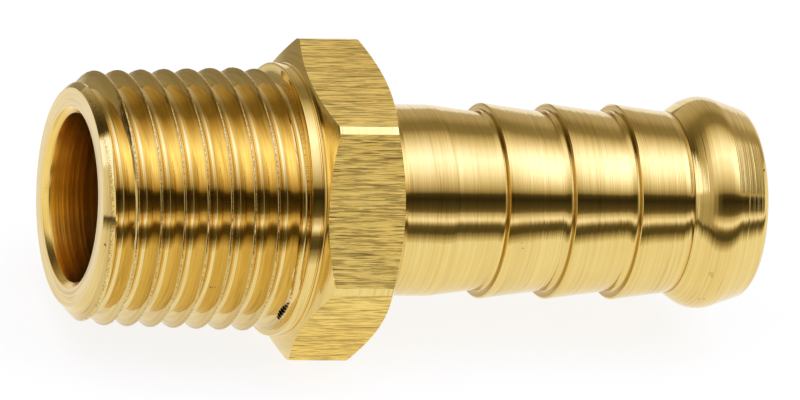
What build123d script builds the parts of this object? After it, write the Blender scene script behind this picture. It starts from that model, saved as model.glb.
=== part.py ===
"""One-piece brass hose tail: taper pipe thread, collar, hexagon, shank, barbs and bulb end.

The axis is X. The origin is the centre of the inlet face at the thread end, +X points
towards the hose end, and the part lies on one flat of its hexagon, which faces -Z.
All sizes are in millimetres.
"""

import os
from math import atan, atan2, cos, degrees, radians, sin, tan

from build123d import *

# Taper pipe thread, 1/8 inch size, right hand, 55 degree form
turns_per_inch = 28
thread_gauge_diameter = 9.728
thread_gauge_length = 4.9
thread_taper = 1 / 16
thread_length = 7.83
thread_flank_angle = 27.5
thread_clocking = 145.2  # degrees round from +Z to where the groove stands at whole pitches
thread_entry = 0.8  # pitches of the groove that lie ahead of the inlet face
thread_pitches = 8  # full pitches from the inlet face to the run-out
runout_pitch = 0.42  # the tool slows down and backs out over the last turn
runout_turns = 0.9
runout_lift_angle = 20

# Inlet face
inlet_face_diameter = 8.2
lead_angle = 45

# Collar between the thread and the hexagon
collar_diameter = 10.22
collar_length = 0.49

# Hexagon, turned over its corners and at both ends
hex_across_flats = 10.6
hex_corner_diameter = 12.06
hex_length = 3.48
hex_chamfer_angle = 25.5
hex_rear_face_diameter = 8.98

# Shank and the neck that runs down to the first barb
shank_diameter = 7.19
shank_length = 2.2
neck_length = 2.1
neck_root_diameter = 6.7
neck_blend_radius = 3.0

# Barbs: a square step towards the hexagon and a long land towards the hose end
barb_count = 3
barb_pitch = 2.62
barb_crest_diameter = 7.36
barb_root_diameter = 6.7
last_land_length = 2.21

# Bulb at the hose end
bulb_diameter = 7.98
bulb_crown_radius = 1.3
bulb_flank_angle = 34.5
bulb_nose_angle = 18.2
bulb_length = 2.95
bulb_edge_radius = 0.4

# Flow bore: drilled through at the tail size and opened out from the inlet
inlet_bore_diameter = 6.3
inlet_bore_depth = 9.0
inlet_bore_chamfer = 0.25
drill_point_angle = 118
tail_bore_diameter = 5.0
tail_bore_chamfer = 0.2

# Stations along the axis
collar_end = thread_length + collar_length
hex_end = collar_end + hex_length
neck_start = hex_end + shank_length
first_barb = neck_start + neck_length
last_barb = first_barb + (barb_count - 1) * barb_pitch
bulb_start = last_barb + last_land_length
overall_length = bulb_start + bulb_length


def thread_radius(x):
    """Crest radius of the taper thread at the station x."""
    return (thread_gauge_diameter + (x - thread_gauge_length) * thread_taper) / 2


def chamfer_rise(inner_radius, outer_radius):
    """Axial length of the hexagon's end chamfer between two radii."""
    return (outer_radius - inner_radius) * tan(radians(hex_chamfer_angle))


# Thread form: a sharp 55 degree triangle with a sixth of its height off the crest and the root
thread_pitch = 25.4 / turns_per_inch
thread_triangle = thread_pitch / (2 * tan(radians(thread_flank_angle)))
thread_depth = thread_triangle * 2 / 3
root_flat = thread_pitch / 6
tool_overhang = 0.15
mouth_width = root_flat + 2 * (thread_depth + tool_overhang) * tan(radians(thread_flank_angle))
groove_start = -thread_entry * thread_pitch
groove_clock = thread_clocking - 360 * thread_entry
groove_turns = thread_entry + thread_pitches
runout_start = thread_pitches * thread_pitch
taper_angle = degrees(atan(thread_taper / 2))
thread_passes = (
    (groove_start, groove_clock, thread_pitch, groove_turns, taper_angle),
    (runout_start, thread_clocking, runout_pitch, runout_turns, runout_lift_angle),
)

# Lead chamfer: from the inlet face up to the thread's crest cone
lead_start_radius = inlet_face_diameter / 2
lead_rise = tan(radians(lead_angle))
lead_length = (thread_radius(0) - lead_start_radius) / (lead_rise - thread_taper / 2)

# Hexagon's turned ends
collar_radius = collar_diameter / 2
corner_radius = hex_corner_diameter / 2
rear_radius = hex_rear_face_diameter / 2
front_corner = collar_end + chamfer_rise(collar_radius, corner_radius)
rear_corner = hex_end - chamfer_rise(rear_radius, corner_radius)

# Neck: a short arc turns the shank into the cone that ends at the first barb
shank_radius = shank_diameter / 2
neck_root_radius = neck_root_diameter / 2
neck_angle = atan2(shank_radius - neck_root_radius, neck_length)
neck_blend_reach = neck_blend_radius * tan(neck_angle / 2)

# Barb lands
crest_radius = barb_crest_diameter / 2
root_radius = barb_root_diameter / 2
land_slope = (crest_radius - root_radius) / barb_pitch
last_land_radius = crest_radius - land_slope * last_land_length

# Bulb: straight flank, round crown, straight nose, end edge broken in two facets
flank = radians(bulb_flank_angle)
nose = radians(bulb_nose_angle)
crown_centre_radius = bulb_diameter / 2 - bulb_crown_radius
crown_start_radius = crown_centre_radius + bulb_crown_radius * cos(flank)
crown_start = bulb_start + (crown_start_radius - last_land_radius) / tan(flank)
crown_centre = crown_start + bulb_crown_radius * sin(flank)
nose_start = crown_centre + bulb_crown_radius * sin(nose)
nose_start_radius = crown_centre_radius + bulb_crown_radius * cos(nose)
end_edge_turn = radians(90) - nose
end_edge_reach = bulb_edge_radius * tan(end_edge_turn / 2)
nose_end = overall_length - end_edge_reach * cos(nose)
nose_end_radius = nose_start_radius - (nose_end - nose_start) * tan(nose)
end_face_radius = nose_end_radius - bulb_edge_radius * (cos(nose) - cos(nose + end_edge_turn))
edge_middle = overall_length - bulb_edge_radius * (1 - cos(end_edge_turn / 2))
edge_middle_radius = end_face_radius + bulb_edge_radius * sin(end_edge_turn / 2)

# Flow bore
inlet_bore_radius = inlet_bore_diameter / 2
tail_bore_radius = tail_bore_diameter / 2
drill_cone_length = (inlet_bore_radius - tail_bore_radius) / tan(radians(drill_point_angle / 2))

with BuildPart() as hose_tail:
    # Taper blank with its lead chamfer, and the thread cut in it
    with BuildSketch(Plane.XZ):
        with BuildLine():
            Polyline(
                (0, 0),
                (0, lead_start_radius),
                (lead_length, thread_radius(lead_length)),
                (thread_length, thread_radius(thread_length)),
                (thread_length, 0),
                close=True,
            )
        make_face()
    revolve(axis=Axis.X)
    for start, clock, pitch, turns, lift in thread_passes:
        with BuildLine() as track:
            Helix(pitch, pitch * turns, thread_radius(start), (start, 0, 0), (1, 0, 0), lift)
        groove = track.line.rotate(Axis.X, clock)
        outward = (groove @ 0) - Vector(start, 0, 0)
        with BuildSketch(Plane(groove @ 0, x_dir=outward, z_dir=groove % 0)):
            with BuildLine():
                Polyline(
                    (-thread_depth, -root_flat / 2),
                    (-thread_depth, root_flat / 2),
                    (tool_overhang, mouth_width / 2),
                    (tool_overhang, -mouth_width / 2),
                    close=True,
                )
            make_face()
        sweep(path=groove, is_frenet=True, mode=Mode.SUBTRACT)

    # Hexagonal bar, then the turning over its corners and its two chamfered ends
    with BuildSketch(Plane.YZ.offset(collar_end)):
        RegularPolygon(hex_across_flats / 2, 6, major_radius=False)
    extrude(amount=hex_length)
    with BuildSketch(Plane.XZ):
        with BuildLine():
            Polyline(
                (collar_end, collar_radius),
                (front_corner, corner_radius),
                (rear_corner, corner_radius),
                (hex_end, rear_radius),
                (hex_end, hex_across_flats),
                (collar_end, hex_across_flats),
                close=True,
            )
        make_face()
    revolve(axis=Axis.X, mode=Mode.SUBTRACT)

    # Collar, shank, neck, barbs and bulb, turned in one profile
    with BuildSketch(Plane.XZ):
        with BuildLine():
            Polyline(
                (thread_length, 0),
                (thread_length, collar_radius),
                (collar_end, collar_radius),
                (collar_end, shank_radius),
                (neck_start - neck_blend_reach, shank_radius),
            )
            neck_blend = JernArc(
                start=(neck_start - neck_blend_reach, shank_radius),
                tangent=(1, 0),
                radius=neck_blend_radius,
                arc_size=-degrees(neck_angle),
            )
            Line(neck_blend @ 1, (first_barb, neck_root_radius))
            step_root = (first_barb, neck_root_radius)
            for barb in range(barb_count):
                step = first_barb + barb * barb_pitch
                is_last = barb == barb_count - 1
                land_end = bulb_start if is_last else step + barb_pitch
                land_end_radius = last_land_radius if is_last else root_radius
                Polyline(step_root, (step, crest_radius), (land_end, land_end_radius))
                step_root = (land_end, land_end_radius)
            Line(step_root, (crown_start, crown_start_radius))
            JernArc(
                start=(crown_start, crown_start_radius),
                tangent=(cos(flank), sin(flank)),
                radius=bulb_crown_radius,
                arc_size=-degrees(flank + nose),
            )
            Line((nose_start, nose_start_radius), (nose_end, nose_end_radius))
            Polyline(
                (nose_end, nose_end_radius),
                (edge_middle, edge_middle_radius),
                (overall_length, end_face_radius),
                (overall_length, 0),
                (thread_length, 0),
            )
        make_face()
    revolve(axis=Axis.X)

    # Flow bore with its chamfered mouths and the drill's cone between the two sizes
    with BuildSketch(Plane.XZ):
        with BuildLine():
            Polyline(
                (0, 0),
                (0, inlet_bore_radius + inlet_bore_chamfer),
                (inlet_bore_chamfer, inlet_bore_radius),
                (inlet_bore_depth, inlet_bore_radius),
                (inlet_bore_depth + drill_cone_length, tail_bore_radius),
                (overall_length - tail_bore_chamfer, tail_bore_radius),
                (overall_length, tail_bore_radius + tail_bore_chamfer),
                (overall_length, 0),
                close=True,
            )
        make_face()
    revolve(axis=Axis.X, mode=Mode.SUBTRACT)

hose_tail.part.label = "hose_tail"
os.makedirs("parts", exist_ok=True)
export_step(hose_tail.part, "parts/hose_tail.step")
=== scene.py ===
"""Dressed model of a one-piece brass hose tail, lying on one flat of its hexagon.

The fitting's sizes are in millimetres along and round its axis, +X, and its mesh is scaled
to metres when it is finished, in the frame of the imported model. The studio's sizes are in
metres, apart from the floor's level.
"""

from __future__ import annotations

import logging
import math
from dataclasses import dataclass, field
from enum import Enum

import bmesh
import bpy
from mathutils import Matrix, Vector, noise


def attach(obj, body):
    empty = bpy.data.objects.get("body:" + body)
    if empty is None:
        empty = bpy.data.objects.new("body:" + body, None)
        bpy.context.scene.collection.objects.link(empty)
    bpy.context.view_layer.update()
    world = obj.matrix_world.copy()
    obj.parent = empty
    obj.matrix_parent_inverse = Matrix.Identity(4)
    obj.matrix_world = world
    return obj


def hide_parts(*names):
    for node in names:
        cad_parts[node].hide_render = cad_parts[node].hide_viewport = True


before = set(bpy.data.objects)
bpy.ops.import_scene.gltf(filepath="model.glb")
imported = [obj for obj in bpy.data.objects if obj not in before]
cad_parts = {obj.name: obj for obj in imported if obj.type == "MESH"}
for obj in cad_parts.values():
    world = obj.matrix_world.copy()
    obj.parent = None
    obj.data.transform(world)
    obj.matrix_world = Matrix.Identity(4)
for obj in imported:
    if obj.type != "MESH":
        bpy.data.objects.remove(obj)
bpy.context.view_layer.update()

LOG = logging.getLogger("hose_tail")
MM = 0.001
STEPS = 240
TURN = 2.0 * math.pi
WHITE = (1.0, 1.0, 1.0, 1.0)

Band = tuple[float, float]
Point = tuple[float, float]
Section = tuple[Point, ...]
Scale = tuple[float, float, float]
Colour = tuple[float, float, float, float]


def arc(centre: Point, radius: float, start: float, end: float, steps: int) -> list[Point]:
    """Points along an arc of the profile.

    Args:
        centre: Station and radius of the arc's centre.
        radius: Radius of the arc.
        start: First angle, in degrees from +X towards larger radii.
        end: Last angle.
        steps: Number of chords.

    Returns:
        The points as station and radius, both ends included.
    """
    turn = [math.radians(start + (end - start) * i / steps) for i in range(steps + 1)]
    return [(centre[0] + radius * math.cos(a), centre[1] + radius * math.sin(a)) for a in turn]


def section(x: float, radius: float, offsets: Section) -> list[Point]:
    """Points of a small section of the profile, such as a broken edge.

    Args:
        x: Station of the corner that the section stands at.
        radius: Radius of that corner.
        offsets: Station and radius of each point, from the corner.

    Returns:
        The points as station and radius.
    """
    return [(x + along, radius + out) for along, out in offsets]


def clamp(value: float, low: float, high: float) -> float:
    """Hold a value between two limits."""
    return max(low, min(high, value))


def ease(value: float, start: float, end: float) -> float:
    """Smooth step from 0 at start to 1 at end."""
    t = clamp((value - start) / (end - start), 0.0, 1.0)
    return t * t * (3.0 - 2.0 * t)


def soft_min(a: float, b: float, blend: float) -> float:
    """Smaller of two heights, with the corner between them rounded over a width of blend."""
    h = clamp(0.5 + 0.5 * (b - a) / blend, 0.0, 1.0)
    return b + (a - b) * h - blend * h * (1.0 - h)


class Finish(Enum):
    """Material slots of the fitting, in the order they are added to its mesh."""

    TURNED = 0
    THREAD = 1
    COLLAR = 2
    FLAT = 3
    CORNER = 4
    FACED = 5
    BORE = 6
    # Darker brass: painted shade on the barbs' square steps and in the corner under the bulb
    SHADED_STEP = 7


@dataclass
class TaperThread:
    """Right-hand taper thread with its lead chamfer and its run-out against the collar.

    Angles are in degrees. A blend is the width over which two surfaces run together.
    """

    pitch: float = 25.4 / 28.0
    gauge_diameter: float = 9.728
    gauge_length: float = 4.9
    taper: float = 1.0 / 16.0
    flank: float = 27.5
    root_radius: float = 0.16
    crest_tip: float = 0.055
    clocking: float = 55.2
    face_radius: float = 4.1
    wall: float = 7.83
    land_radius: float = 4.9
    last_full_groove: int = 7
    # The slowed groove: how far it moves on in its turn, how much of that it loses, where
    # it fades in, and each stage of the tool's backing out as rise, first and last angle
    runout_advance: float = 0.45
    runout_slowing: float = 0.55
    runout_fade: Band = (-180.0, -100.0)
    backing_out: tuple[Scale, ...] = ((0.10, -90.0, 20.0), (0.22, 0.0, 110.0), (0.5, 118.0, 160.0))
    # Raggedness of the cut crest: height, where it starts, and cycles per degree and per mm
    burr_height: float = 0.012
    burr_start: float = 0.88
    burr_round: float = 0.55
    burr_along: float = 2.0
    groove_blend: float = 0.03
    land_blend: float = 0.05
    runout_blend: float = 0.08
    chamfer_blend: float = 0.03
    # Mesh: columns on each rounding, on each flank, and turns spun past each end
    columns: int = 5
    flank_columns: int = 4
    turns_before: int = 2
    turns_after: int = 5
    merge_gap: float = 0.001
    trim_gap: float = 0.002

    def crest_radius(self, x: float) -> float:
        """Radius of the crest cone at the station x."""
        return (self.gauge_diameter + (x - self.gauge_length) * self.taper) / 2.0

    def flank_height(self, offset: float, tip: float) -> float:
        """Height of the form's side above its rounded end.

        Args:
            offset: Distance from the middle of the rounded end.
            tip: Radius of the rounding.

        Returns:
            The height in millimetres.
        """
        angle = math.radians(self.flank)
        reach = tip * math.cos(angle)
        if offset < reach:
            return tip - math.sqrt(tip**2 - offset**2)
        return tip * (1.0 - math.sin(angle)) + (offset - reach) / math.tan(angle)

    @property
    def depth(self) -> float:
        """Depth of the rounded thread form."""
        middle = self.pitch / 4.0
        return self.flank_height(middle, self.root_radius) + self.flank_height(middle, self.crest_tip)

    def full_height(self, offset: float) -> float:
        """Height above the root of the whole form, crest rounding included."""
        if offset <= self.pitch / 4.0:
            return self.flank_height(offset, self.root_radius)
        return self.depth - self.flank_height(self.pitch / 2.0 - offset, self.crest_tip)

    def chain(self) -> list[float]:
        """Stations of one pitch of the form, closer together on the rounded root and crest."""
        across = math.cos(math.radians(self.flank))
        half = self.pitch / 2.0
        turn = [math.sin(math.pi / 2.0 * i / self.columns) for i in range(self.columns + 1)]
        low = [self.root_radius * across * t for t in turn]
        high = [half - self.crest_tip * across * t for t in reversed(turn)]
        gap = high[0] - low[-1]
        rise = [low[-1] + gap * i / self.flank_columns for i in range(1, self.flank_columns)]
        first = low + rise + high
        return first + [self.pitch - s for s in reversed(first[:-1])]

    def clock(self, y: float, z: float) -> float:
        """Angle round the axis in degrees, -180 to 180, zero where crests stand at whole pitches."""
        angle = math.degrees(math.atan2(z, y)) - self.clocking
        return (angle + 180.0) % 360.0 - 180.0

    def groove(self, index: int, clock: float) -> float:
        """Station of a groove's middle, slowed down beyond the last full groove.

        Args:
            index: Number of the groove from the inlet face.
            clock: Angle round the axis, as clock() gives it.

        Returns:
            The station in millimetres.
        """
        share = (clock + 180.0) / 360.0
        full = self.last_full_groove + 1
        if index < full:
            return (index + share) * self.pitch
        start = full * self.pitch
        if index == full:
            slowing = self.runout_slowing
            return start + self.runout_advance * ((1.0 + slowing) * share - slowing * share * share)
        return start + self.runout_advance + (index - full - 1 + share) * self.pitch

    def warp(self, x: float, clock: float) -> float:
        """Move a station of the even helix to where the slowed-down groove carries it."""
        share = (clock + 180.0) / 360.0
        turns = x / self.pitch - share
        index = math.floor(turns)
        if index < self.last_full_groove:
            return x
        low = self.groove(index, clock)
        high = self.groove(index + 1, clock)
        return low + (turns - index) * (high - low)

    def lift(self, clock: float) -> float:
        """How far the tool has backed out of the last groove."""
        return sum(rise * ease(clock, first, last) for rise, first, last in self.backing_out)

    def burr(self, x: float, clock: float, height: float) -> float:
        """Fine raggedness of the cut crest, nothing lower down the flanks."""
        share = ease(height / self.depth, self.burr_start, 1.0)
        place = Vector((clock * self.burr_round, x * self.burr_along, 0.0))
        return self.burr_height * share * noise.noise(place)

    def run_out(self, x: float, clock: float, even: float) -> float:
        """Radius beyond the last full groove, where the tool slows down and backs out.

        Args:
            x: Station, after warp().
            clock: Angle round the axis, as clock() gives it.
            even: Radius of the even thread there.

        Returns:
            The radius in millimetres.
        """
        crest = self.crest_radius(x)
        root = crest - self.depth
        full = self.groove(self.last_full_groove, clock)
        slow = self.groove(self.last_full_groove + 1, clock)
        kept = root + self.flank_height(abs(x - full), self.root_radius)
        lifted = root + self.lift(clock) + self.flank_height(abs(x - slow), self.root_radius)
        land = soft_min(crest, self.land_radius, self.land_blend)
        surface = soft_min(soft_min(kept, lifted, self.groove_blend), land, self.runout_blend)
        if x < slow:
            surface = even + (surface - even) * ease(clock, *self.runout_fade)
        return surface

    def radius(self, x: float, clock: float) -> float:
        """Radius of the threaded surface.

        Args:
            x: Station, after warp().
            clock: Angle round the axis, as clock() gives it.

        Returns:
            The radius in millimetres, lead chamfer and run-out included.
        """
        share = (clock + 180.0) / 360.0
        offset = abs((x / self.pitch - share + 0.5) % 1.0 - 0.5) * self.pitch
        height = self.full_height(offset)
        surface = self.crest_radius(x) - self.depth + height + self.burr(x, clock, height)
        if x > self.groove(self.last_full_groove, clock):
            surface = self.run_out(x, clock, surface)
        return soft_min(surface, self.face_radius + x, self.chamfer_blend)

    def build(self) -> bmesh.types.BMesh:
        """Spin one pitch of the form along the helix, then shape, taper and trim it.

        Returns:
            An open tube from the inlet face to the collar wall, in millimetres.
        """
        bm = bmesh.new()
        start = self.groove(-self.turns_before, self.clock(0.0, 1.0))
        verts = [bm.verts.new((start + s, 0.0, 1.0)) for s in self.chain()]
        edges = [bm.edges.new(pair) for pair in zip(verts, verts[1:])]
        bmesh.ops.spin(
            bm,
            geom=verts + edges,
            cent=(0.0, 0.0, 0.0),
            axis=(1.0, 0.0, 0.0),
            dvec=(self.pitch / STEPS, 0.0, 0.0),
            angle=TURN,
            steps=STEPS,
            use_duplicate=False,
        )
        first_turn = bm.verts[:] + bm.edges[:] + bm.faces[:]
        for turn in range(1, self.last_full_groove + self.turns_after):
            made = bmesh.ops.duplicate(bm, geom=first_turn)
            moved = [e for e in made["geom"] if isinstance(e, bmesh.types.BMVert)]
            bmesh.ops.translate(bm, vec=(turn * self.pitch, 0.0, 0.0), verts=moved)
        bmesh.ops.remove_doubles(bm, verts=bm.verts, dist=self.merge_gap)
        for vert in bm.verts:
            clock = self.clock(vert.co.y, vert.co.z)
            x = self.warp(vert.co.x, clock)
            ring = Vector((0.0, vert.co.y, vert.co.z)).normalized()
            vert.co = ring * self.radius(x, clock) + Vector((x, 0.0, 0.0))
        for station, outward in ((0.0, -1.0), (self.wall, 1.0)):
            bmesh.ops.bisect_plane(
                bm,
                geom=bm.verts[:] + bm.edges[:] + bm.faces[:],
                dist=self.trim_gap,
                plane_co=(station, 0.0, 0.0),
                plane_no=(outward, 0.0, 0.0),
                clear_outer=True,
            )
        for vert in bm.verts:
            vert.co.x = clamp(vert.co.x, 0.0, self.wall)
        for face in bm.faces:
            face.material_index = Finish.THREAD.value
        return bm


@dataclass
class Hexagon:
    """Drawn hexagon bar with its turned corners."""

    across_flats: float = 10.6
    front: float = 8.32
    rear: float = 11.8
    sides: int = 6
    first_flat: float = 30.0
    cut_gap: float = 0.0001

    def cut(self, bm: bmesh.types.BMesh) -> None:
        """Cut the flats on the turned blank and close them.

        Args:
            bm: Turned body in millimetres, closed round the hexagon.
        """
        for side in range(self.sides):
            angle = math.radians(self.first_flat + 360.0 / self.sides * side)
            normal = Vector((0.0, math.cos(angle), math.sin(angle)))
            cut = bmesh.ops.bisect_plane(
                bm,
                geom=bm.verts[:] + bm.edges[:] + bm.faces[:],
                dist=self.cut_gap,
                plane_co=normal * self.across_flats / 2.0,
                plane_no=normal,
                clear_outer=True,
            )
            rim = [e for e in cut["geom_cut"] if isinstance(e, bmesh.types.BMEdge)]
            filled = bmesh.ops.edgeloop_fill(bm, edges=rim)
            for face in filled["faces"]:
                face.material_index = Finish.FLAT.value


@dataclass
class TurnedBody:
    """Everything that is turned in one setting: collar, hexagon blank, shank, barbs, bulb and bores.

    A section holds the points of one edge or corner, as offsets from it.
    """

    wall: float = 7.83
    wall_foot: float = 4.97
    wall_edge: Section = ((0.0, -0.03), (0.012, -0.008), (0.035, 0.0), (0.06, 0.0))
    collar_radius: float = 5.11
    end_groove: float = 8.25
    end_groove_form: Section = (
        (-0.085, 0.0),
        (-0.06, 0.0),
        (-0.035, -0.012),
        (-0.015, -0.05),
        (0.015, -0.05),
        (0.035, -0.01),
    )
    hexagon: Hexagon = field(default_factory=Hexagon)
    front_foot: Section = ((0.0, 0.005), (0.02, 0.02), (0.035, 0.05), (0.06, 0.125))
    corner_radius: float = 6.03
    front_corner: float = 8.76
    front_corner_edge: Section = ((-0.04, -0.084), (-0.012, -0.026), (0.0, -0.006), (0.025, 0.0))
    rear_corner: float = 11.06
    rear_corner_edge: Section = ((-0.02, 0.0), (0.0, -0.006), (0.012, -0.022), (0.04, -0.080))
    rear_radius: float = 4.49
    rear_edge: Section = ((-0.02, 0.035), (-0.004, 0.01), (0.0, -0.02))
    shank_fillet: float = 0.08
    shank_radius: float = 3.595
    neck_start: float = 14.0
    neck_blend_radius: float = 3.0
    neck_blend_reach: float = 0.17
    root_radius: float = 3.35
    crest_radius: float = 3.68
    first_barb: float = 16.1
    barb_pitch: float = 2.62
    barb_count: int = 3
    step_foot: Section = ((-0.24, 0.004), (-0.15, 0.010), (-0.08, 0.026), (-0.03, 0.056), (-0.005, 0.095))
    step_foot_top: float = 0.13
    step_edge: Section = ((0.0, -0.07), (0.012, -0.034), (0.035, -0.012))
    land_rings: tuple[float, float, float] = (0.08, 0.5, 0.4)
    bulb_start: float = 23.55
    bulb_foot: float = 0.02
    bulb_foot_dip: float = 0.012
    bulb_foot_rise: float = 0.014
    bulb_radius: float = 3.99
    crown_radius: float = 1.3
    crown_chords: int = 22
    flank: float = 34.5
    nose: float = 18.2
    end: float = 26.5
    edge_radius: float = 0.4
    edge_chords: int = 8
    tail_bore: float = 2.5
    tail_mouth: Section = ((0.0, 0.2), (-0.03, 0.15))
    tail_chamfer: float = 0.2
    tail_rings: tuple[float, ...] = (20.0, 14.0)
    drill_half_angle: float = 59.0
    inlet_bore: float = 3.15
    inlet_depth: float = 9.0
    inlet_rings: tuple[float, ...] = (6.0, 3.0)
    inlet_mouth: Section = ((0.28, 0.0), (0.2, 0.02), (0.03, 0.2), (0.0, 0.25))
    face_radius: float = 4.1
    face_rings: tuple[float, ...] = (0.25, 0.05)
    # How far round each place its finish reaches
    step_reach: Band = (-0.04, 0.001)
    bulb_foot_reach: float = 0.021
    face_reach: float = 0.001
    inlet_mouth_reach: float = 0.27
    inlet_reach: float = 0.5
    tail_mouth_reach: float = 0.17
    corner_reach: float = 0.01

    @property
    def land_slope(self) -> float:
        """Fall of a barb's land for each millimetre along it."""
        return (self.crest_radius - self.root_radius) / self.barb_pitch

    @property
    def steps(self) -> list[float]:
        """Stations of the barbs' square steps."""
        return [self.first_barb + barb * self.barb_pitch for barb in range(self.barb_count)]

    def collar(self) -> list[Point]:
        """Collar, its end groove and the foot of the hexagon's turned front."""
        return (
            [(self.wall, self.wall_foot)]
            + section(self.wall, self.collar_radius, self.wall_edge)
            + section(self.end_groove, self.collar_radius, self.end_groove_form)
            + section(self.hexagon.front, self.collar_radius, self.front_foot)
        )

    def barrel(self) -> list[Point]:
        """Hexagon's turned corners and rear chamfer, and the face behind them."""
        fillet = self.shank_fillet
        centre = (self.hexagon.rear + fillet, self.shank_radius + fillet)
        return (
            section(self.front_corner, self.corner_radius, self.front_corner_edge)
            + section(self.rear_corner, self.corner_radius, self.rear_corner_edge)
            + section(self.hexagon.rear, self.rear_radius, self.rear_edge)
            + arc(centre, fillet, 180.0, 270.0, 4)
        )

    def neck(self) -> list[Point]:
        """Shank and the gentle cone that runs down to the first barb."""
        drop = self.shank_radius - self.root_radius
        slope = math.degrees(math.atan2(drop, self.first_barb - self.neck_start))
        centre = (self.neck_start - self.neck_blend_reach, self.shank_radius - self.neck_blend_radius)
        bend = arc(centre, self.neck_blend_radius, 90.0, 90.0 - slope, 4)
        return bend + section(self.first_barb, self.root_radius, self.step_foot)

    def barbs(self) -> list[Point]:
        """Barbs, each a square step and a long land, and the corner under the bulb."""
        slope = self.land_slope
        points: list[Point] = []
        for step in self.steps:
            last = step == self.steps[-1]
            land = self.bulb_start if last else step + self.barb_pitch
            low = self.crest_radius - slope * (land - step)
            near, middle, far = self.land_rings
            points.append((step, self.root_radius + self.step_foot_top))
            points += section(step, self.crest_radius, self.step_edge)
            points += [(step + reach, self.crest_radius - reach * slope) for reach in (near, middle)]
            points.append((land - far, low + far * slope))
            if last:
                foot = self.bulb_foot
                bulb_foot = ((-foot, foot * slope), (0.0, -self.bulb_foot_dip), (foot, self.bulb_foot_rise))
                points += section(land, low, bulb_foot)
            else:
                points += section(land, self.root_radius, self.step_foot)
        return points

    def bulb(self) -> list[Point]:
        """Bulb, its rounded end and the end face in to the tail bore."""
        flank = math.radians(self.flank)
        nose = math.radians(self.nose)
        foot = self.crest_radius - self.land_slope * (self.bulb_start - self.steps[-1])
        centre_r = self.bulb_radius - self.crown_radius
        crown_start_r = centre_r + self.crown_radius * math.cos(flank)
        crown_start = self.bulb_start + (crown_start_r - foot) / math.tan(flank)
        centre = (crown_start + self.crown_radius * math.sin(flank), centre_r)
        crown = arc(centre, self.crown_radius, 90.0 + self.flank, 90.0 - self.nose, self.crown_chords)
        reach = self.edge_radius * math.tan((math.radians(90.0) - nose) / 2.0)
        nose_r = crown[-1][1] - (self.end - reach * math.cos(nose) - crown[-1][0]) * math.tan(nose)
        corner_r = nose_r - reach * math.sin(nose)
        edge_centre = (self.end - self.edge_radius, corner_r - reach)
        edge = arc(edge_centre, self.edge_radius, 90.0 - self.nose, 0.0, self.edge_chords)
        return crown + edge + section(self.end, self.tail_bore, self.tail_mouth)

    def bores(self) -> list[Point]:
        """Tail bore, drill cone, inlet bore and its broken edge, out to the inlet face."""
        cone = (self.inlet_bore - self.tail_bore) / math.tan(math.radians(self.drill_half_angle))
        tail = (self.end - self.tail_chamfer, *self.tail_rings, self.inlet_depth + cone)
        inlet = (self.inlet_depth, *self.inlet_rings)
        return (
            [(x, self.tail_bore) for x in tail]
            + [(x, self.inlet_bore) for x in inlet]
            + section(0.0, self.inlet_bore, self.inlet_mouth)
            + [(0.0, self.face_radius - ring) for ring in self.face_rings]
        )

    def is_step(self, face: bmesh.types.BMFace) -> bool:
        """Tell whether a face is one of the barbs' square steps or the corner under the bulb."""
        low, high = self.step_reach
        steps = any(all(low < v.co.x - x < high for v in face.verts) for x in self.steps)
        return steps or all(abs(v.co.x - self.bulb_start) < self.bulb_foot_reach for v in face.verts)

    def finish_at(self, centre: Vector) -> Finish:
        """Finish of the turned surface at a face's centre."""
        r = math.hypot(centre.y, centre.z)
        in_inlet = centre.x < self.inlet_depth + self.inlet_reach
        in_tail = r < self.tail_bore + self.tail_mouth_reach
        if centre.x < self.face_reach:
            return Finish.FACED
        if r < self.inlet_bore + self.inlet_mouth_reach and (in_inlet or in_tail):
            return Finish.BORE
        if r > self.corner_radius - self.corner_reach:
            return Finish.CORNER
        if centre.x < self.hexagon.front:
            return Finish.COLLAR
        return Finish.TURNED

    def build(self) -> bmesh.types.BMesh:
        """Spin the whole outline and cut the hexagon's flats.

        Returns:
            An open ring from the collar wall round to the inlet face, in millimetres.
        """
        points = self.collar() + self.barrel() + self.neck() + self.barbs() + self.bulb() + self.bores()
        bm = bmesh.new()
        verts = [bm.verts.new((x, 0.0, r)) for x, r in points]
        edges = [bm.edges.new(pair) for pair in zip(verts, verts[1:])]
        bmesh.ops.spin(
            bm,
            geom=verts + edges,
            cent=(0.0, 0.0, 0.0),
            axis=(1.0, 0.0, 0.0),
            angle=TURN,
            steps=STEPS,
            use_merge=True,
            use_duplicate=False,
        )
        for face in bm.faces:
            # The square steps and the corner under the bulb take the darker brass of painted shade
            finish = Finish.SHADED_STEP if self.is_step(face) else self.finish_at(face.calc_center_median())
            face.material_index = finish.value
        self.hexagon.cut(bm)
        return bm


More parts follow.
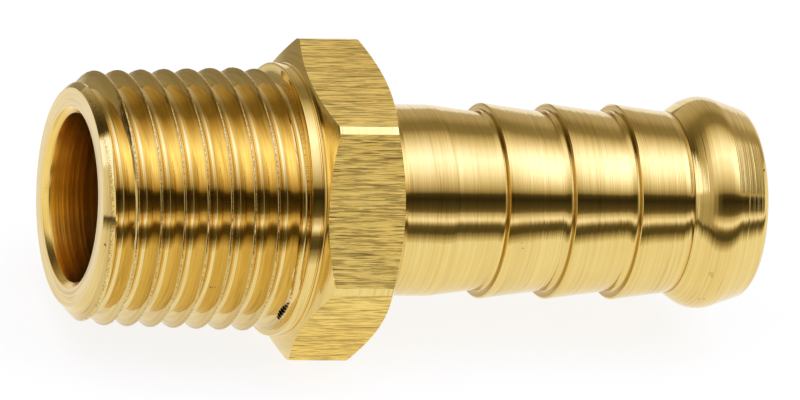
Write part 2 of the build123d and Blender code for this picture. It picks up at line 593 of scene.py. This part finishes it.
class NodeSheet:
    """Small drawing board for the nodes of one material or of the world."""

    def __init__(self, owner: bpy.types.Material | bpy.types.World) -> None:
        """Start with an empty node tree.

        Args:
            owner: Material or world that the nodes belong to.
        """
        owner.use_nodes = True
        self.owner = owner
        self.tree = owner.node_tree
        self.tree.nodes.clear()

    @classmethod
    def material(cls, name: str) -> NodeSheet:
        """Start a new material."""
        return cls(bpy.data.materials.new(name))

    def node(self, kind: str, settings: dict[str, object] | None = None, **inputs: object) -> bpy.types.Node:
        """Add a node, set its options and fill or link its inputs.

        Args:
            kind: Node type.
            settings: Attributes of the node.
            inputs: Values or output sockets by input name, with _ for a space, or i0, i1 for a number.

        Returns:
            The new node.
        """
        made = self.tree.nodes.new(kind)
        for key, value in (settings or {}).items():
            setattr(made, key, value)
        for key, value in inputs.items():
            numbered = key[0] == "i" and key[1:].isdigit()
            socket = made.inputs[int(key[1:]) if numbered else key.replace("_", " ")]
            if isinstance(value, bpy.types.NodeSocket):
                self.tree.links.new(value, socket)
            else:
                socket.default_value = value
        return made

    def math(self, operation: str, *values: object) -> bpy.types.NodeSocket:
        """Add a math node and return its output."""
        pairs = {f"i{n}": v for n, v in enumerate(values)}
        return self.node("ShaderNodeMath", {"operation": operation}, **pairs).outputs[0]

    def blend(
        self, first: bpy.types.NodeSocket, second: bpy.types.NodeSocket, shares: Band
    ) -> bpy.types.NodeSocket:
        """Add two values, each times its own share."""
        kept = [self.math("MULTIPLY", value, share) for value, share in zip((first, second), shares)]
        return self.math("ADD", *kept)

    def remap(
        self, value: bpy.types.NodeSocket, band: Band, low: float = 0.0, high: float = 1.0
    ) -> bpy.types.NodeSocket:
        """Add a clamped map range.

        Args:
            value: Value to map.
            band: Values that become low and high.
            low: Result at the band's first value and beyond it.
            high: Result at its last.

        Returns:
            The mapped value.
        """
        pairs = {"i0": value, "i1": band[0], "i2": band[1], "i3": low, "i4": high}
        return self.node("ShaderNodeMapRange", {"clamp": True}, **pairs).outputs[0]

    def mix(self, share: object, first: object, second: object) -> bpy.types.NodeSocket:
        """Add a colour mix and return its output."""
        made = self.node("ShaderNodeMix", {"data_type": "RGBA"}, i0=share, i6=first, i7=second)
        return made.outputs[2]

    def noise(
        self, vector: bpy.types.NodeSocket, detail: float = 2.0, rough: float = 0.5
    ) -> bpy.types.NodeSocket:
        """Add a noise texture whose vector is already scaled, and return its value."""
        made = self.node(
            "ShaderNodeTexNoise",
            {"noise_dimensions": "3D"},
            Vector=vector,
            Scale=1.0,
            Detail=detail,
            Roughness=rough,
        )
        return made.outputs[0]

    def bump(self, height: bpy.types.NodeSocket, depth: float, **under: object) -> bpy.types.NodeSocket:
        """Add relief of a depth in metres, on the one given as Normal."""
        return self.node("ShaderNodeBump", Strength=1.0, Distance=depth, Height=height, **under).outputs[0]

    def place(self) -> bpy.types.NodeSocket:
        """Object coordinates, in metres."""
        return self.node("ShaderNodeTexCoord").outputs["Object"]

    def parts(self) -> tuple[bpy.types.NodeSocket, ...]:
        """X, Y and Z of the object coordinates."""
        return tuple(self.node("ShaderNodeSeparateXYZ", Vector=self.place()).outputs)

    def seen(self) -> bpy.types.NodeSocket:
        """One where the camera looks straight at it, or in a mirror or through glass."""
        path = self.node("ShaderNodeLightPath")
        seen = self.math("MAXIMUM", path.outputs["Is Camera Ray"], path.outputs["Is Glossy Ray"])
        return self.math("MAXIMUM", seen, path.outputs["Is Transmission Ray"])


@dataclass(frozen=True)
class Mark:
    """Nick, pit or speck, or a spot of painted shade: its middle and its radius in millimetres, and how dark
    it is.
    """

    x: float
    y: float
    z: float
    size: float
    shade: float


@dataclass(frozen=True)
class Brass:
    """Bare yellow brass and the marks that a tool leaves on it.

    Scales are in cycles per metre along X, Y and Z, or along the radius, Y and Z where
    radial is set. Depths are in metres. Bands are the noise values where a mark starts
    and where it is full, and mixes are the shares of the two noises that make it.
    """

    name: str
    colour: Colour = (0.84, 0.64, 0.23, 1.0)
    warm: Colour = (0.77, 0.53, 0.13, 1.0)
    # Stain of tool marks and scratches, which on the thread and the flats also paints shade
    stain_and_shade: Colour = (0.30, 0.17, 0.04, 1.0)
    pit_and_shade_colour: Colour = (0.022, 0.010, 0.003, 1.0)
    pit_edge: Colour = (0.05, 0.02, 0.01, 1.0)
    warm_share: float = 0.5
    roughness: float = 0.06
    spread: float = 0.05
    spread_band: Band = (0.75, 1.25)
    grain: Scale = (15000.0, 70.0, 70.0)
    coarse: Scale = (5200.0, 45.0, 45.0)
    scratch: Scale = (9000.0, 260.0, 260.0)
    cloud: Scale = (420.0, 420.0, 420.0)
    mark_rough: float = 0.6
    cloud_mix: Band = (0.55, 0.45)
    cloud_band: Band = (0.38, 0.64)
    grain_depth: float = 0.000006
    coarse_depth: float = 0.000009
    grain_shade: float = 0.16
    grain_mix: Band = (0.6, 0.4)
    grain_band: Band = (0.42, 0.62)
    scratch_share: float = 0.25
    scratch_depth: float = 0.0
    scratch_band: Band = (0.63, 0.70)
    pit_depth: float = 0.00003
    pit_ragged: float = 0.00003
    pit_grain: float = 16000.0
    pit_core: float = 0.6
    pit_fade: float = 0.00002
    radial: bool = False
    flaws: tuple[Mark, ...] = ()

    def place(self, sheet: NodeSheet) -> bpy.types.NodeSocket:
        """Coordinates that the marks follow.

        Args:
            sheet: Material being drawn.

        Returns:
            Object coordinates, or the radius with Y and Z.
        """
        if not self.radial:
            return sheet.place()
        _, y, z = sheet.parts()
        flat = sheet.node("ShaderNodeCombineXYZ", X=0.0, Y=y, Z=z).outputs[0]
        length = sheet.node("ShaderNodeVectorMath", {"operation": "LENGTH"}, i0=flat).outputs["Value"]
        return sheet.node("ShaderNodeCombineXYZ", X=length, Y=y, Z=z).outputs[0]

    def marks(
        self, sheet: NodeSheet, place: bpy.types.NodeSocket, scale: Scale, detail: float
    ) -> bpy.types.NodeSocket:
        """Noise drawn out along the way the tool went.

        Args:
            sheet: Material being drawn.
            place: Coordinates of the marks.
            scale: Cycles per metre along each coordinate.
            detail: Octaves of the noise.

        Returns:
            The noise value.
        """
        drawn_out = sheet.node("ShaderNodeMapping", Vector=place, Scale=scale).outputs[0]
        return sheet.noise(drawn_out, detail, self.mark_rough)

    def pits_and_shade(self, sheet: NodeSheet) -> bpy.types.NodeSocket:
        """Mask of the nicks and pits, and of spots of painted shade, ragged at their edges.

        Args:
            sheet: Material being drawn.

        Returns:
            The mask, 0 on clean metal.
        """
        where = sheet.place()
        scaled = sheet.node("ShaderNodeVectorMath", {"operation": "SCALE"}, i0=where, i3=self.pit_grain)
        ragged = sheet.math("MULTIPLY", sheet.noise(scaled.outputs[0], 3.0), self.pit_ragged)
        mask: bpy.types.NodeSocket | float = 0.0
        for flaw in self.flaws:
            middle = (flaw.x * MM, flaw.y * MM, flaw.z * MM)
            gap = sheet.node("ShaderNodeVectorMath", {"operation": "DISTANCE"}, i0=where, i1=middle)
            rim = sheet.math("ADD", gap.outputs["Value"], ragged)
            size = flaw.size * MM
            fade = (size * self.pit_core + self.pit_ragged / 2.0, size + self.pit_fade)
            spot = sheet.remap(rim, fade, flaw.shade, 0.0)
            mask = sheet.math("MAXIMUM", mask, spot)
        return mask

    def dress(self, sheet: NodeSheet, colour: bpy.types.NodeSocket) -> bpy.types.NodeSocket:
        """Shade that only some finishes have; none here."""
        return colour

    def build(self) -> bpy.types.Material:
        """Make the material: tinted metal, tool marks of two sizes, scratches, staining, pits and spots of
        painted shade.
        """
        sheet = NodeSheet.material(self.name)
        place = self.place(sheet)
        fine = self.marks(sheet, place, self.grain, 3.0)
        wide = self.marks(sheet, place, self.coarse, 3.0)
        cuts = sheet.remap(self.marks(sheet, place, self.scratch, 1.0), self.scratch_band)
        cloud = self.marks(sheet, place, self.cloud, 4.0)
        patches = sheet.remap(sheet.blend(wide, cloud, self.cloud_mix), self.cloud_band, 0.0, self.warm_share)
        lines = sheet.remap(sheet.blend(fine, wide, self.grain_mix), self.grain_band, 0.0, self.grain_shade)
        colour = sheet.mix(patches, self.colour, self.warm)
        colour = sheet.mix(lines, colour, self.stain_and_shade)
        colour = sheet.mix(sheet.math("MULTIPLY", cuts, self.scratch_share), colour, self.stain_and_shade)
        colour = self.dress(sheet, colour)
        both = sheet.math("ADD", fine, cloud)
        rough = sheet.remap(both, self.spread_band, self.roughness, self.roughness + self.spread)
        relief = sheet.bump(wide, self.coarse_depth)
        relief = sheet.bump(fine, self.grain_depth, Normal=relief)
        if self.scratch_depth:
            relief = sheet.bump(sheet.math("MULTIPLY", cuts, -1.0), self.scratch_depth, Normal=relief)
        edge: object = WHITE
        if self.flaws:
            pits = self.pits_and_shade(sheet)
            # Pits and spots of painted shade take the dark pit colour
            colour = sheet.mix(pits, colour, self.pit_and_shade_colour)
            edge = sheet.mix(pits, WHITE, self.pit_edge)
            relief = sheet.bump(sheet.math("MULTIPLY", pits, -1.0), self.pit_depth, Normal=relief)
        metal = sheet.node(
            "ShaderNodeBsdfPrincipled",
            Base_Color=colour,
            Metallic=1.0,
            Roughness=rough,
            Normal=relief,
            Specular_Tint=edge,
        )
        sheet.node("ShaderNodeOutputMaterial", Surface=metal.outputs[0])
        return sheet.owner


@dataclass(frozen=True)
class ThreadBrass(Brass):
    """Brass of the thread, with marks that follow its helix and painted shade on the flank below each crest.

    The helix's phase runs from one crest, at 0, over the groove at 0.5 to the next.
    """

    pitch: float = 25.4 / 28.0
    clocking: float = 55.2
    phase_turns: float = 10.5
    # Painted shade on the flank facing the inlet below each crest: how dark it is, the phases it covers, and
    # its streaks
    flank_shade: float = 0.50
    flank_band: Band = (0.68, 0.95)
    streak: Scale = (24.0, 260.0, 260.0)
    streak_band: Band = (0.35, 0.65)
    streak_low: float = 0.25
    crest_shade: float = 0.62
    crest_fall: Band = (0.03, 0.12)
    crest_rise: Band = (0.955, 0.985)
    torn: Scale = (9000.0, 16000.0, 16000.0)
    torn_band: Band = (0.46, 0.56)

    def stretch(self, sheet: NodeSheet, values: tuple[object, ...], scale: Scale) -> bpy.types.NodeSocket:
        """Vector of three values, each times its own scale."""
        scaled = [sheet.math("MULTIPLY", value, size) for value, size in zip(values, scale)]
        return sheet.node("ShaderNodeCombineXYZ", X=scaled[0], Y=scaled[1], Z=scaled[2]).outputs[0]

    def dress(self, sheet: NodeSheet, colour: bpy.types.NodeSocket) -> bpy.types.NodeSocket:
        """Paint shade in streaks on the flank towards each crest, and hatch the torn crest itself.

        Args:
            sheet: Material being drawn.
            colour: Colour so far.

        Returns:
            The colour with the thread's own marks.
        """
        x, y, z = sheet.parts()
        angle = sheet.math("DIVIDE", sheet.math("ARCTAN2", z, sheet.math("MULTIPLY", y, -1.0)), TURN)
        turns = sheet.math("ADD", sheet.math("MULTIPLY", x, 1.0 / (self.pitch * MM)), angle)
        shift = self.phase_turns - (360.0 - self.clocking) / 360.0
        phase = sheet.math("FRACT", sheet.math("ADD", turns, shift))
        streak = sheet.noise(self.stretch(sheet, (phase, y, z), self.streak), 3.0, 0.6)
        streak = sheet.remap(streak, self.streak_band, self.streak_low, 1.0)
        # Painted shade, darkening the flank towards each crest in streaks
        flank_painted_shade = sheet.remap(phase, self.flank_band, 0.0, self.flank_shade)
        colour = sheet.mix(sheet.math("MULTIPLY", flank_painted_shade, streak), colour, self.stain_and_shade)
        torn = sheet.noise(self.stretch(sheet, (x, y, z), self.torn))
        torn = sheet.remap(torn, self.torn_band, 0.0, self.crest_shade)
        before = sheet.remap(phase, self.crest_fall, 1.0, 0.0)
        crest = sheet.math("ADD", before, sheet.remap(phase, self.crest_rise))
        return sheet.mix(sheet.math("MULTIPLY", crest, torn), colour, self.stain_and_shade)


@dataclass
class HoseTail:
    """The whole fitting: thread and turned body joined in one closed mesh."""

    thread: TaperThread = field(default_factory=TaperThread)
    body: TurnedBody = field(default_factory=TurnedBody)
    sharp_angle: float = 32.0
    rim_split: float = 1.0
    # Painted shade in the run-out's pocket, marks in one valley and a nick in the lead chamfer
    thread_flaws_and_shade: tuple[Mark, ...] = (
        Mark(7.59, -4.66, -1.50, 0.07, 0.9),
        Mark(7.58, -4.58, -1.66, 0.10, 0.97),
        Mark(7.56, -4.49, -1.82, 0.13, 1.0),
        Mark(7.55, -4.40, -2.00, 0.15, 1.0),
        Mark(7.54, -4.30, -2.18, 0.15, 1.0),
        Mark(7.54, -4.21, -2.36, 0.13, 1.0),
        Mark(7.55, -4.14, -2.52, 0.10, 0.95),
        Mark(4.58, -4.21, -1.08, 0.05, 0.45),
        Mark(4.63, -4.32, -1.00, 0.04, 0.4),
        Mark(4.68, -4.44, -0.91, 0.04, 0.35),
        Mark(0.13, -4.16, 0.78, 0.05, 0.7),
        Mark(0.16, -4.18, 0.74, 0.03, 0.5),
    )
    # Specks on the first barb's land, dull dents in the bulb and a nick at its end edge
    tail_flaws: tuple[Mark, ...] = (
        Mark(16.72, -3.56, 0.56, 0.03, 0.4),
        Mark(16.80, -3.58, 0.34, 0.03, 0.4),
        Mark(24.38, -3.87, -0.58, 0.12, 0.22),
        Mark(24.46, -3.84, -0.70, 0.08, 0.25),
        Mark(24.40, -3.29, -2.14, 0.05, 0.4),
        Mark(24.56, -3.38, -2.08, 0.05, 0.4),
        Mark(26.28, -2.05, 2.92, 0.06, 0.8),
    )

    def turned_finishes(self) -> list[Brass]:
        """Finishes of the turned surfaces, thread and collar, for the first three slots."""
        return [
            Brass("turned_brass", flaws=self.tail_flaws),
            ThreadBrass(
                "thread_brass",
                colour=(0.85, 0.67, 0.28, 1.0),
                warm=(0.79, 0.56, 0.17, 1.0),
                roughness=0.06,
                spread=0.04,
                grain_depth=0.0000012,
                coarse_depth=0.0000016,
                warm_share=0.7,
                flaws=self.thread_flaws_and_shade,
            ),
            Brass("collar_brass", roughness=0.05, grain_depth=0.0000008, coarse_depth=0.000001),
        ]

    def hexagon_finishes(self) -> list[Brass]:
        """Finishes of the drawn flats and of the corners turned over them."""
        return [
            # Drawn flats: their dark lines are partly real drawing marks and partly painted shade where the
            # grooves would face the dark surroundings, and their colour is lighter than the turned brass,
            # painted light
            Brass(
                "drawn_brass",
                colour=(1.0, 0.77, 0.22, 1.0),
                warm=(1.0, 0.70, 0.16, 1.0),
                stain_and_shade=(0.28, 0.16, 0.03, 1.0),
                grain_band=(0.485, 0.56),
                roughness=0.58,
                spread=0.12,
                grain=(1100.0, 16000.0, 16000.0),
                coarse=(420.0, 9000.0, 9000.0),
                scratch=(650.0, 17000.0, 17000.0),
                grain_depth=0.00004,
                coarse_depth=0.00008,
                grain_shade=0.52,
                scratch_share=0.9,
                scratch_depth=0.00001,
            ),
            Brass(
                "corner_brass",
                roughness=0.14,
                grain_shade=0.04,
                grain_depth=0.0000003,
                coarse_depth=0.0000004,
            ),
        ]

    def inner_finishes(self) -> list[Brass]:
        """Finishes of the faced inlet and the bores, and a darker brass that paints shade on the barbs'
        square steps.
        """
        return [
            Brass(
                "faced_brass",
                colour=(0.88, 0.70, 0.34, 1.0),
                warm=(0.80, 0.60, 0.24, 1.0),
                roughness=0.30,
                radial=True,
            ),
            Brass(
                "bored_brass",
                colour=(0.90, 0.64, 0.18, 1.0),
                warm=(0.82, 0.53, 0.11, 1.0),
                grain=(9000.0, 60.0, 60.0),
                coarse=(3600.0, 50.0, 50.0),
                roughness=0.18,
                grain_depth=0.000005,
                coarse_depth=0.00001,
                grain_shade=0.35,
                warm_share=0.9,
            ),
            # Darker copy of the brass, painted shade on the square steps and in the corner under the bulb
            Brass(
                "shaded_step_brass",
                colour=(0.56, 0.38, 0.10, 1.0),
                warm=(0.42, 0.26, 0.05, 1.0),
                roughness=0.16,
                radial=True,
            ),
        ]

    def finishes(self) -> list[bpy.types.Material]:
        """Materials in the order of the Finish slots."""
        every = self.turned_finishes() + self.hexagon_finishes() + self.inner_finishes()
        return [finish.build() for finish in every]

    def join(self) -> bmesh.types.BMesh:
        """Join the thread to the body at the inlet face and at the collar wall.

        Returns:
            One closed mesh in millimetres.
        """
        bm = self.body.build()
        thread = self.thread.build()
        spare = bpy.data.meshes.new("thread_strip")
        thread.to_mesh(spare)
        thread.free()
        bm.from_mesh(spare)
        bpy.data.meshes.remove(spare)
        open_edges = [e for e in bm.edges if e.is_boundary]
        face_rims = [e for e in open_edges if e.verts[0].co.x < self.rim_split]
        wall_rims = [e for e in open_edges if e.verts[0].co.x > self.rim_split]
        for rims, finish in ((face_rims, Finish.FACED), (wall_rims, Finish.COLLAR)):
            made = bmesh.ops.bridge_loops(bm, edges=rims)
            for face in made["faces"]:
                face.material_index = finish.value
        return bm

    def build(self) -> bpy.types.Object:
        """Build the mesh, dress it and hand it to the frame.

        Returns:
            The finished piece.
        """
        bm = self.join()
        bmesh.ops.recalc_face_normals(bm, faces=bm.faces)
        bmesh.ops.scale(bm, vec=(MM, MM, MM), verts=bm.verts)
        mesh = bpy.data.meshes.new("hose_tail_brass")
        bm.to_mesh(mesh)
        loose = sum(1 for e in bm.edges if not e.is_manifold)
        bm.free()
        mesh.shade_smooth()
        mesh.set_sharp_from_angle(angle=math.radians(self.sharp_angle))
        for material in self.finishes():
            mesh.materials.append(material)
        piece = bpy.data.objects.new("hose_tail_brass", mesh)
        bpy.context.scene.collection.objects.link(piece)
        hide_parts("hose_tail")
        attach(piece, "root")
        LOG.info("%s: %d faces, %d edges not manifold", piece.name, len(mesh.polygons), loose)
        return piece


def set_up(name: str, bm: bmesh.types.BMesh, sheet: NodeSheet, unseen: tuple[str, ...] = ()) -> None:
    """Stand a piece of the studio in place.

    Args:
        name: Name of the piece.
        bm: Its mesh in metres, which is freed.
        sheet: Its material.
        unseen: Kinds of ray that pass through it.
    """
    mesh = bpy.data.meshes.new(name)
    bm.to_mesh(mesh)
    bm.free()
    mesh.materials.append(sheet.owner)
    piece = bpy.data.objects.new(name, mesh)
    for ray in unseen:
        setattr(piece, f"visible_{ray}", False)
    bpy.context.scene.collection.objects.link(piece)
    LOG.info("%s", name)


@dataclass
class Tent:
    """Long light tent round the fitting, brightest overhead and dark behind the camera.

    Angles are in degrees round the axis, from level in front upwards and over to the back.
    Reaches are metres along the axis. Levels are light strengths.
    """

    middle: float = 0.013
    radius: float = 0.9
    length: float = 4.0
    facets: int = 96
    start: float = -5.0
    end: float = 180.0
    peak: float = 1.9
    shade: Colour = (1.0, 0.80, 0.38, 1.0)
    light: Colour = (0.84, 0.93, 1.42, 1.0)
    levels: tuple[Point, ...] = (
        (-5.0, 0.10),
        (3.0, 0.14),
        (6.5, 0.65),
        (9.0, 1.30),
        (12.0, 1.30),
        (15.0, 0.85),
        (18.5, 0.60),
        (20.0, 0.20),
        (25.0, 0.10),
        (36.0, 0.03),
        (43.0, 0.07),
        (45.0, 0.32),
        (51.0, 0.65),
        (60.0, 1.05),
        (72.0, 1.55),
        (87.0, 1.90),
        (101.0, 1.50),
        (112.0, 1.05),
        (119.0, 0.75),
        (130.0, 0.30),
        (144.0, 0.28),
        (158.0, 0.52),
        (180.0, 0.65),
    )
    # Past the thread end: a plainer side, dimmer at its foot, and a box at the far end
    left_reach: Band = (-0.95, -0.25)
    left_turn: Band = (86.0, 118.0)
    left_levels: Band = (0.80, 0.07)
    left_foot: Band = (30.0, 56.0)
    left_foot_share: float = 0.65
    far_reach: Band = (-1.25, -1.10)
    far_foot: Band = (42.0, 56.0)
    far_top: Band = (122.0, 134.0)
    # Past the hose end: a brighter stretch, then a leaning edge where the light is capped
    over: Band = (36.0, 50.0)
    lamp_reach: Band = (0.50, 0.80)
    lamp_gain: float = 0.4
    lean_turn: Band = (35.0, 115.0)
    lean: float = 0.38
    right_reach: Band = (1.10, 1.45)
    right_turn: Band = (45.0, 90.0)
    right_levels: Band = (0.14, 0.55)
    open_cap: float = 1.5

    def turned(
        self, sheet: NodeSheet, angle: bpy.types.NodeSocket, band: Band, low: float = 0.0, high: float = 1.0
    ) -> bpy.types.NodeSocket:
        """Map an angle over a band given in degrees."""
        return sheet.remap(angle, (math.radians(band[0]), math.radians(band[1])), low, high)

    def overhead(self, sheet: NodeSheet, angle: bpy.types.NodeSocket) -> bpy.types.NodeSocket:
        """Level round the tent beside the fitting, as a share of the peak.

        Args:
            sheet: Material being drawn.
            angle: Angle round the axis, in radians.

        Returns:
            The share.
        """
        ramp = sheet.node("ShaderNodeValToRGB", Fac=self.turned(sheet, angle, (self.start, self.end)))
        stops = ramp.color_ramp.elements
        first, *middle, last = self.levels
        for stop, (degrees, level) in enumerate((first, last, *middle)):
            position = (degrees - self.start) / (self.end - self.start)
            element = stops[stop] if stop < 2 else stops.new(position)
            element.position = position
            share = level / self.peak
            element.color = (share, share, share, 1.0)
        return sheet.node("ShaderNodeSeparateColor", Color=ramp.outputs[0]).outputs[0]

    def left_side(
        self, sheet: NodeSheet, along: bpy.types.NodeSocket, angle: bpy.types.NodeSocket
    ) -> bpy.types.NodeSocket:
        """Level past the thread end, as a share of the peak.

        Args:
            sheet: Material being drawn.
            along: Station in metres.
            angle: Angle round the axis, in radians.

        Returns:
            The share.
        """
        low, high = (level / self.peak for level in self.left_levels)
        side = self.turned(sheet, angle, self.left_turn, low, high)
        foot = self.turned(sheet, angle, self.left_foot, self.left_foot_share, 1.0)
        box = sheet.math(
            "MULTIPLY", sheet.remap(along, self.far_reach, 1.0, 0.0), self.turned(sheet, angle, self.far_foot)
        )
        box = sheet.math("MULTIPLY", box, self.turned(sheet, angle, self.far_top, 1.0, 0.0))
        return sheet.math("MAXIMUM", sheet.math("MULTIPLY", side, foot), box)

    def right_side(
        self,
        sheet: NodeSheet,
        level: bpy.types.NodeSocket,
        along: bpy.types.NodeSocket,
        angle: bpy.types.NodeSocket,
    ) -> bpy.types.NodeSocket:
        """Brighten the tent past the hose end, and cap it farther out.

        Args:
            sheet: Material being drawn.
            level: Level so far, as a share of the peak.
            along: Station in metres.
            angle: Angle round the axis, in radians.

        Returns:
            The new share.
        """
        over = self.turned(sheet, angle, self.over)
        lean = sheet.math("ADD", along, self.turned(sheet, angle, self.lean_turn, 0.0, self.lean))
        lamp = sheet.math("MULTIPLY", over, sheet.remap(along, self.lamp_reach, 0.0, self.lamp_gain))
        level = sheet.math("MULTIPLY", level, sheet.math("ADD", lamp, 1.0))
        right = sheet.math("MULTIPLY", over, sheet.remap(lean, self.right_reach))
        low, high = (share / self.peak for share in self.right_levels)
        low = sheet.math("SUBTRACT", self.turned(sheet, angle, self.right_turn, low, high), self.open_cap)
        cap = sheet.math("ADD", sheet.math("MULTIPLY", right, low), self.open_cap)
        return sheet.math("MINIMUM", level, cap)

    def cloth(self) -> NodeSheet:
        """Glowing cloth, warmer where it is darker."""
        sheet = NodeSheet.material("tent_cloth")
        along, y, z = sheet.parts()
        angle = sheet.math("ARCTAN2", z, sheet.math("MULTIPLY", y, -1.0))
        left = sheet.remap(along, self.left_reach, 1.0, 0.0)
        kept = sheet.math("MULTIPLY", self.overhead(sheet, angle), sheet.math("SUBTRACT", 1.0, left))
        side = sheet.math("MULTIPLY", left, self.left_side(sheet, along, angle))
        level = self.right_side(sheet, sheet.math("ADD", kept, side), along, angle)
        tint = sheet.mix(level, self.shade, self.light)
        strength = sheet.math("MULTIPLY", level, self.peak)
        glow = sheet.node("ShaderNodeEmission", Color=tint, Strength=strength)
        sheet.node("ShaderNodeOutputMaterial", Surface=glow.outputs[0])
        return sheet

    def build(self) -> None:
        """Spin the tent and hang it."""
        bm = bmesh.new()
        stations = [self.middle + side * self.length / 2.0 for side in (-1.0, 1.0)]
        ends = [bm.verts.new((x, 0.0, self.radius)) for x in stations]
        rim = bm.edges.new(ends)
        bmesh.ops.spin(
            bm,
            geom=ends + [rim],
            cent=(0.0, 0.0, 0.0),
            axis=(1.0, 0.0, 0.0),
            angle=TURN,
            steps=self.facets,
            use_merge=True,
            use_duplicate=False,
        )
        set_up("tent", bm, self.cloth(), ("camera", "shadow"))


@dataclass
class Studio:
    """Pale floor and surroundings, the tent, two mats and the camera."""

    floor_level: float = -5.31
    floor_size: float = 3.0
    floor_glow: float = 0.85
    floor_matt: Colour = (0.22, 0.22, 0.215, 1.0)
    world_light: float = 0.28
    tent: Tent = field(default_factory=Tent)
    aim: Vector = field(default_factory=lambda: Vector((0.013, 0.0, 0.0)))
    back: Vector = field(default_factory=lambda: Vector((-0.3256, -0.7764, 0.5396)))
    distance: float = 0.7075
    roll: float = 0.43
    lens: float = 850.0
    sensor: float = 36.0
    clip: Band = (0.01, 20.0)
    mat_lift: float = 0.1
    # Front mat: near edge, width, and how far out each of its two fades ends
    front_near: float = -0.020
    front_width: float = 0.86
    front_fades: Band = (0.012, 0.036)
    front_levels: Band = (0.40, 0.88)
    front_drop: float = 0.30
    # Back mat: its reach along X and Y, and where it fades in from its near edges
    back_x: Band = (-1.5, 0.014)
    back_y: Band = (0.016, 0.9)
    back_fade_x: float = 0.008
    back_fade_y: float = 0.028
    back_level: float = 0.85
    back_drop: float = 0.50

    def camera(self) -> None:
        """Set the camera on its long lens."""
        data = bpy.data.cameras.new("camera")
        data.lens = self.lens
        data.sensor_width = self.sensor
        data.clip_start, data.clip_end = self.clip
        camera = bpy.data.objects.new("camera", data)
        back = self.back.normalized()
        up = Vector((0.0, back.z, -back.y)).normalized()
        right = up.cross(back).normalized()
        level = Matrix((right, up, back)).transposed()
        turned = level @ Matrix.Rotation(math.radians(self.roll), 3, "Z")
        camera.matrix_world = Matrix.Translation(self.aim + back * self.distance) @ turned.to_4x4()
        bpy.context.scene.collection.objects.link(camera)
        bpy.context.scene.camera = camera

    def mat(self, name: str, reach_x: Band, reach_y: Band, sheet: NodeSheet) -> None:
        """Lay a mat on the floor, which only the metal sees.

        Args:
            name: Name of the mat.
            reach_x: Lowest and highest X in metres.
            reach_y: Lowest and highest Y.
            sheet: Its paint.
        """
        bm = bmesh.new()
        bmesh.ops.create_grid(bm, x_segments=1, y_segments=1, size=0.5)
        bmesh.ops.scale(bm, vec=(reach_x[1] - reach_x[0], reach_y[1] - reach_y[0], 1.0), verts=bm.verts)
        height = (self.floor_level + self.mat_lift) * MM
        bmesh.ops.translate(bm, vec=(sum(reach_x) / 2.0, sum(reach_y) / 2.0, height), verts=bm.verts)
        set_up(name, bm, sheet, ("camera", "diffuse", "shadow"))

    def paint(self, sheet: NodeSheet, level: bpy.types.NodeSocket) -> None:
        """Finish a mat's paint, warmer where it is darker."""
        tint = sheet.mix(level, self.tent.shade, WHITE)
        glow = sheet.node("ShaderNodeEmission", Color=tint, Strength=level)
        sheet.node("ShaderNodeOutputMaterial", Surface=glow.outputs[0])

    def front_mat(self) -> None:
        """Mat in front, darker farther out."""
        near = self.front_near
        first, second = (near - fade for fade in self.front_fades)
        sheet = NodeSheet.material("front_mat")
        _, y, _ = sheet.parts()
        close = sheet.remap(y, (first, near), *self.front_levels)
        level = sheet.math("ADD", close, sheet.remap(y, (second, first), -self.front_drop, 0.0))
        self.paint(sheet, level)
        half = self.tent.length / 2.0
        self.mat("front_mat", (self.aim.x - half, self.aim.x + half), (near - self.front_width, near), sheet)

    def back_mat(self) -> None:
        """Mat behind the thread, fading in from both of its near edges."""
        sheet = NodeSheet.material("back_mat")
        x, y, _ = sheet.parts()
        back = sheet.remap(y, (self.back_y[0], self.back_fade_y))
        side = sheet.remap(x, (self.back_fade_x, self.back_x[1]), 1.0, 0.0)
        drop = sheet.math("MULTIPLY", sheet.math("MULTIPLY", back, side), self.back_drop)
        self.paint(sheet, sheet.math("SUBTRACT", self.back_level, drop))
        self.mat("back_mat", self.back_x, self.back_y, sheet)

    def floor(self) -> None:
        """Lay the pale floor, which shows as bright as the surroundings and keeps a shadow."""
        bm = bmesh.new()
        bmesh.ops.create_grid(bm, x_segments=1, y_segments=1, size=self.floor_size)
        bmesh.ops.translate(bm, vec=(0.0, 0.0, self.floor_level * MM), verts=bm.verts)
        sheet = NodeSheet.material("pale_floor")
        strength = sheet.math("MULTIPLY", sheet.seen(), self.floor_glow)
        glow = sheet.node("ShaderNodeEmission", Color=WHITE, Strength=strength)
        matt = sheet.node("ShaderNodeBsdfDiffuse", Color=self.floor_matt)
        both = sheet.node("ShaderNodeAddShader", i0=glow.outputs[0], i1=matt.outputs[0])
        sheet.node("ShaderNodeOutputMaterial", Surface=both.outputs[0])
        set_up("floor", bm, sheet)

    def world(self) -> None:
        """White surroundings, which throw less light than they show."""
        world = bpy.data.worlds.new("studio")
        sheet = NodeSheet(world)
        level = sheet.remap(sheet.seen(), (0.0, 1.0), self.world_light, 1.0)
        glow = sheet.node("ShaderNodeBackground", Color=WHITE, Strength=level)
        sheet.node("ShaderNodeOutputWorld", Surface=glow.outputs[0])
        bpy.context.scene.world = world

    def build(self) -> None:
        """Set up the whole studio."""
        self.floor()
        self.world()
        self.tent.build()
        self.front_mat()
        self.back_mat()
        self.camera()
        bpy.context.scene.view_settings.view_transform = "Standard"


def main() -> None:
    """Build the fitting and the studio round it."""
    logging.basicConfig(level=logging.INFO, format="%(name)s %(message)s")
    HoseTail().build()
    Studio().build()


if __name__ == "__main__":
    main()
